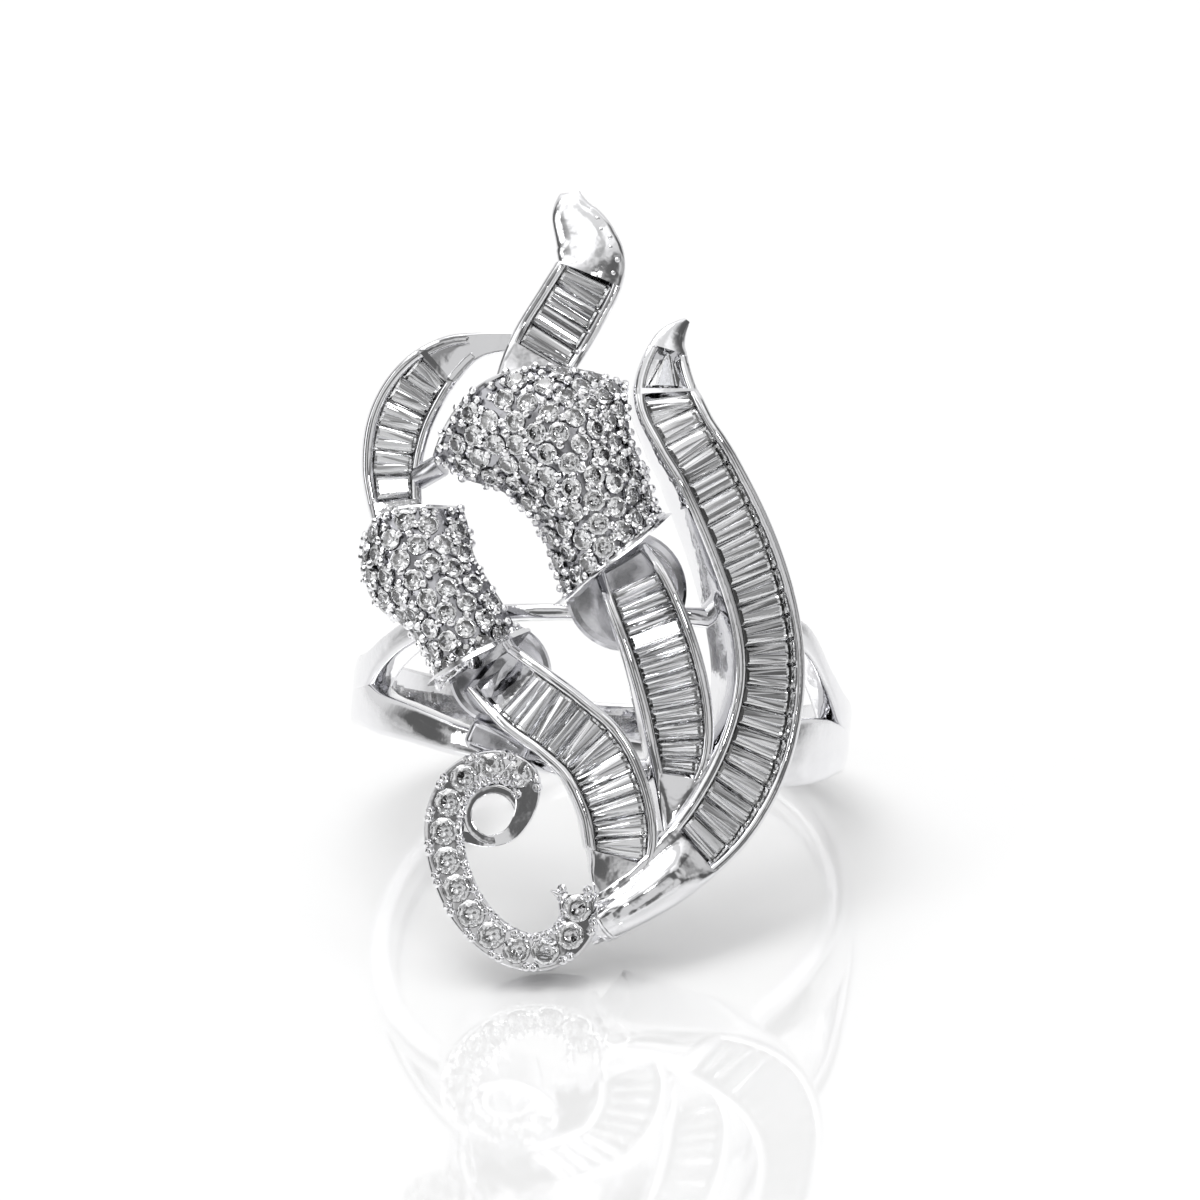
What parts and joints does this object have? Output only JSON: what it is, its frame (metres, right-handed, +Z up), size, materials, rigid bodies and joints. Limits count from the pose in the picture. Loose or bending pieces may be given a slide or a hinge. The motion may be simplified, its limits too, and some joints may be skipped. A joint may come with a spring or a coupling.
{
  "type": "gemstone ring",
  "caption": "Cocktail ring: polished white metal ribbons, pave bells and a scroll set with clear baguette and round stones, on a split shank",
  "frame": {"origin": "middle of the ring's box on the surface it rests on", "axes": "+Z up, +X to the ring's right as seen from the front, -Y towards the viewer; the ring rests on its band's edge and the scroll's foot, with the finger hole's axis leaning back"},
  "size_m": [0.0194, 0.024, 0.0265],
  "materials": {
    "metal": "polished",
    "stone": "polished"
  },
  "bodies": {
    "root": {"ring_metal": "metal", "upper_bell_stones": "stone", "left_bell_stones": "stone", "scroll_stones": "stone", "upper_leaf_stones": "stone", "left_leaf_stones": "stone", "spray_stone_1": "stone", "spray_stone_2": "stone", "spray_stone_3": "stone", "spray_stone_4": "stone", "spray_stone_5": "stone", "spray_stone_6": "stone", "spray_stone_7": "stone", "spray_stone_8": "stone", "spray_stone_9": "stone", "spray_stone_10": "stone", "spray_stone_11": "stone", "spray_stone_12": "stone", "spray_stone_13": "stone", "spray_stone_14": "stone", "spray_stone_15": "stone", "spray_stone_16": "stone", "spray_stone_17": "stone", "spray_stone_18": "stone", "spray_stone_19": "stone", "spray_stone_20": "stone", "spray_stone_21": "stone", "spray_stone_22": "stone", "middle_stone_1": "stone", "middle_stone_2": "stone", "middle_stone_3": "stone", "middle_stone_4": "stone", "middle_stone_5": "stone", "middle_stone_6": "stone", "middle_stone_7": "stone", "middle_stone_8": "stone", "middle_stone_9": "stone", "middle_stone_10": "stone", "middle_stone_11": "stone", "middle_stone_12": "stone", "left_stone_1": "stone", "left_stone_2": "stone", "left_stone_3": "stone", "left_stone_4": "stone", "left_stone_5": "stone", "left_stone_6": "stone", "left_stone_7": "stone", "left_stone_8": "stone", "left_stone_9": "stone", "left_stone_10": "stone", "left_stone_11": "stone"}
  },
  "joints": []
}
